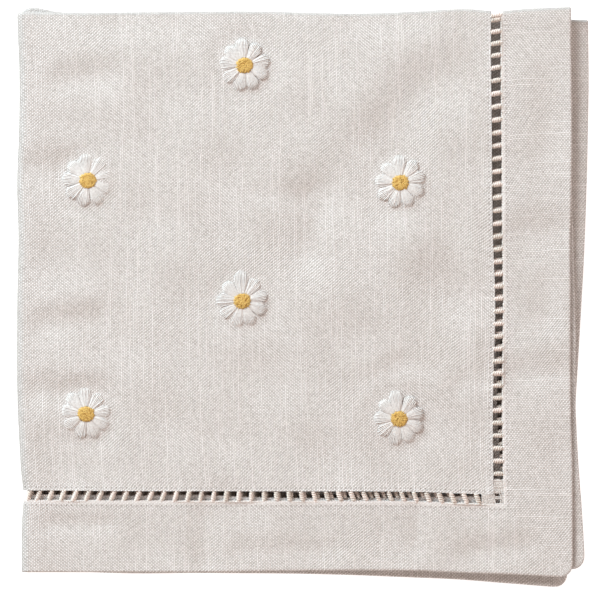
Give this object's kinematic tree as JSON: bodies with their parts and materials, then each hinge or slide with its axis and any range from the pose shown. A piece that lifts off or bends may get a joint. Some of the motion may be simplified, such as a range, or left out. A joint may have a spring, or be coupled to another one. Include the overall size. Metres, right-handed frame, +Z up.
{
  "type": "folded cloth napkin",
  "caption": "Square cloth napkin with an openwork ladder border and embroidered daisies, folded to lie flat as a smaller square.",
  "frame": {"origin": "middle of the underside's bounding rectangle, on the surface the napkin rests on", "axes": "+Z up out of the napkin's top quarter, +X towards its free right-hand edges, +Y towards the folded edge at the back"},
  "size_m": [0.2604, 0.2636, 0.0086],
  "materials": {
    "cloth": "plain weave of slubbed linen and cotton yarn, matt",
    "ladder_thread": "twisted sewing thread, matt",
    "petal_thread": "white embroidery thread in satin stitch, soft sheen",
    "eye_thread": "yellow embroidery thread in short stitches"
  },
  "bodies": {
    "root": {"centre_panel": "cloth", "border_north": "cloth", "ladder_north": "ladder_thread", "border_east": "cloth", "ladder_east": "ladder_thread", "border_south": "cloth", "ladder_south": "ladder_thread", "border_west": "cloth", "ladder_west": "ladder_thread", "daisy_1_petals": "petal_thread", "daisy_1_eye": "eye_thread", "daisy_2_petals": "petal_thread", "daisy_2_eye": "eye_thread", "daisy_3_petals": "petal_thread", "daisy_3_eye": "eye_thread", "daisy_4_petals": "petal_thread", "daisy_4_eye": "eye_thread", "daisy_5_petals": "petal_thread", "daisy_5_eye": "eye_thread", "daisy_6_petals": "petal_thread", "daisy_6_eye": "eye_thread"}
  },
  "joints": []
}
